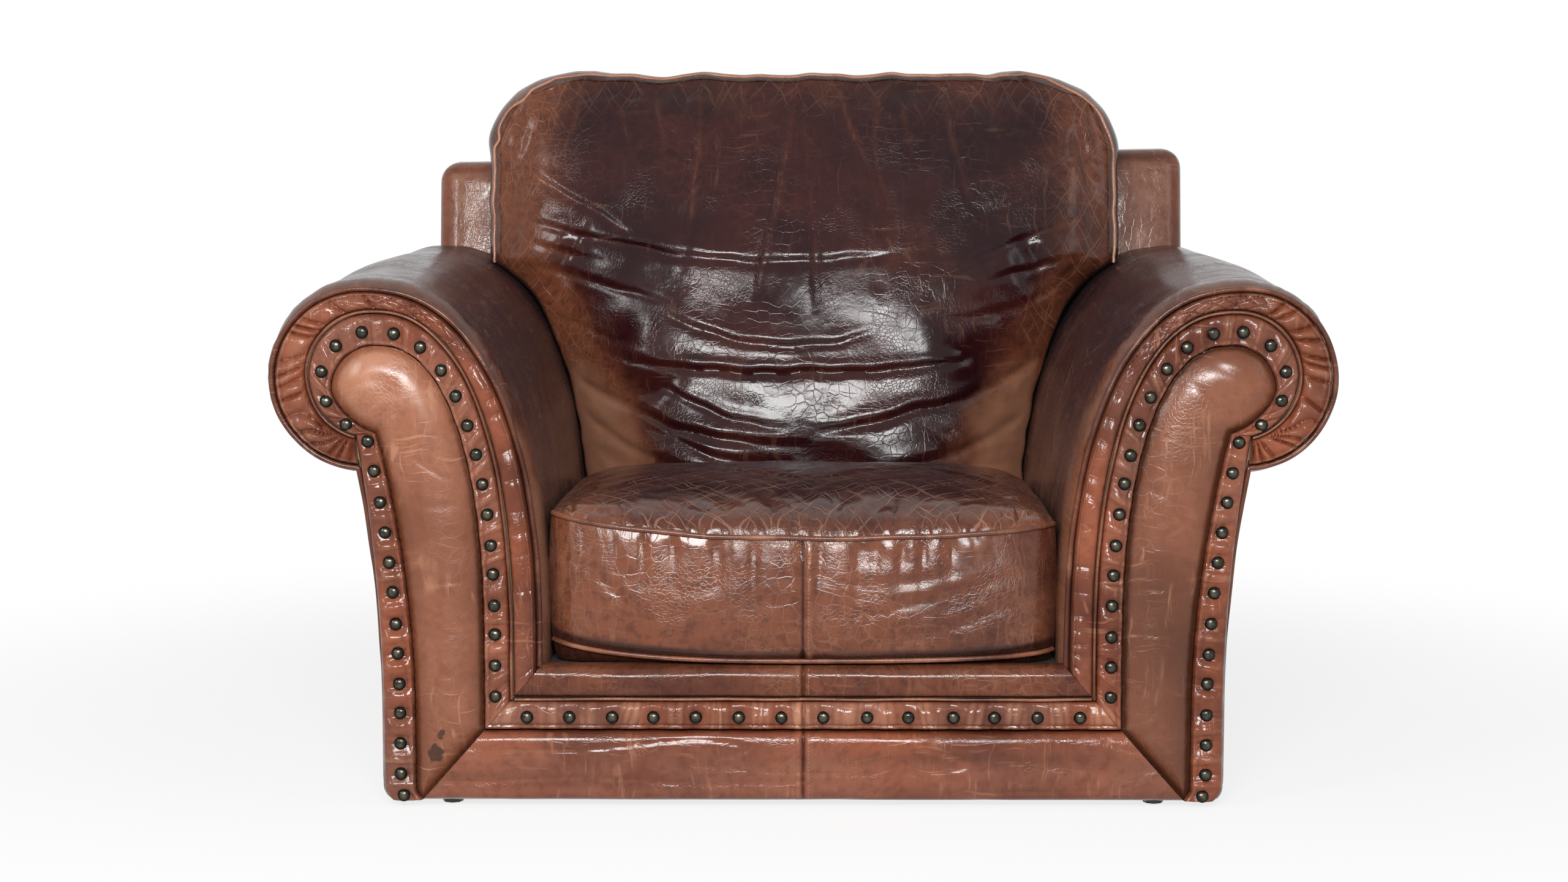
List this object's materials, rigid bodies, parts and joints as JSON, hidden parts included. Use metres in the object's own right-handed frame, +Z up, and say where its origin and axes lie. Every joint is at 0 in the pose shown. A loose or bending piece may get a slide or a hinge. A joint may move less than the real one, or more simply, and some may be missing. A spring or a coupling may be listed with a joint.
{
  "type": "club chair",
  "caption": "Deep club chair in worn leather, with scrolled arms, nail-trimmed arm fronts and apron, a boxed seat cushion and a loose pillow back.",
  "frame": {"origin": "on the floor, under the middle of the whole chair's box", "axes": "+X to the right as one looks at the chair, +Y towards the back, +Z up; the seat faces -Y"},
  "size_m": [1.259, 0.98, 0.8774],
  "materials": {
    "leather_dark": "glossy, dark and rubbed",
    "leather_brown": "satin, scuffed",
    "leather_tan": "satin, worn pale",
    "leather_welt": "satin, worn pale",
    "hardwood": "sawn, bare",
    "spring_steel": "drawn wire",
    "webbing": "woven",
    "deck_cloth": "woven, matt",
    "glide_plastic": "matt"
  },
  "bodies": {
    "root": {"seat_cushion": "leather_dark", "back_cushion": "leather_dark", "arm_cover_left": "leather_dark", "arm_cover_right": "leather_dark", "apron_lip": "leather_dark", "arm_border_left": "leather_brown", "arm_border_right": "leather_brown", "arm_nail_strip_left": "leather_brown", "arm_nail_strip_right": "leather_brown", "apron_nail_strip": "leather_brown", "apron_panel": "leather_brown", "back_cover": "leather_brown", "arm_back_panel_left": "leather_brown", "arm_back_panel_right": "leather_brown", "arm_panel_left": "leather_tan", "arm_panel_right": "leather_tan", "arm_edge_welt_left": "leather_welt", "arm_edge_welt_right": "leather_welt", "arm_inner_welt_left": "leather_welt", "arm_inner_welt_right": "leather_welt", "apron_welt": "leather_welt", "seat_welt_top": "leather_welt", "seat_welt_bottom": "leather_welt", "back_cushion_welt": "leather_welt", "front_rail": "hardwood", "seat_rear_rail": "hardwood", "side_rail_left": "hardwood", "side_rail_right": "hardwood", "corner_block_front_left": "hardwood", "corner_block_front_right": "hardwood", "corner_block_rear_left": "hardwood", "corner_block_rear_right": "hardwood", "arm_front_board_left": "hardwood", "arm_front_board_right": "hardwood", "arm_top_rail_left": "hardwood", "arm_top_rail_right": "hardwood", "arm_base_rail_left": "hardwood", "arm_base_rail_right": "hardwood", "back_bottom_rail": "hardwood", "back_tack_rail": "hardwood", "back_top_rail": "hardwood", "back_post_left": "hardwood", "back_post_right": "hardwood", "seat_spring_1": "spring_steel", "seat_spring_2": "spring_steel", "seat_spring_3": "spring_steel", "seat_spring_4": "spring_steel", "back_webbing_1": "webbing", "back_webbing_2": "webbing", "back_webbing_3": "webbing", "seat_deck": "deck_cloth", "dust_cover": "deck_cloth", "glide_front_left": "glide_plastic", "glide_front_right": "glide_plastic", "glide_back_left": "glide_plastic", "glide_back_right": "glide_plastic"}
  },
  "joints": []
}
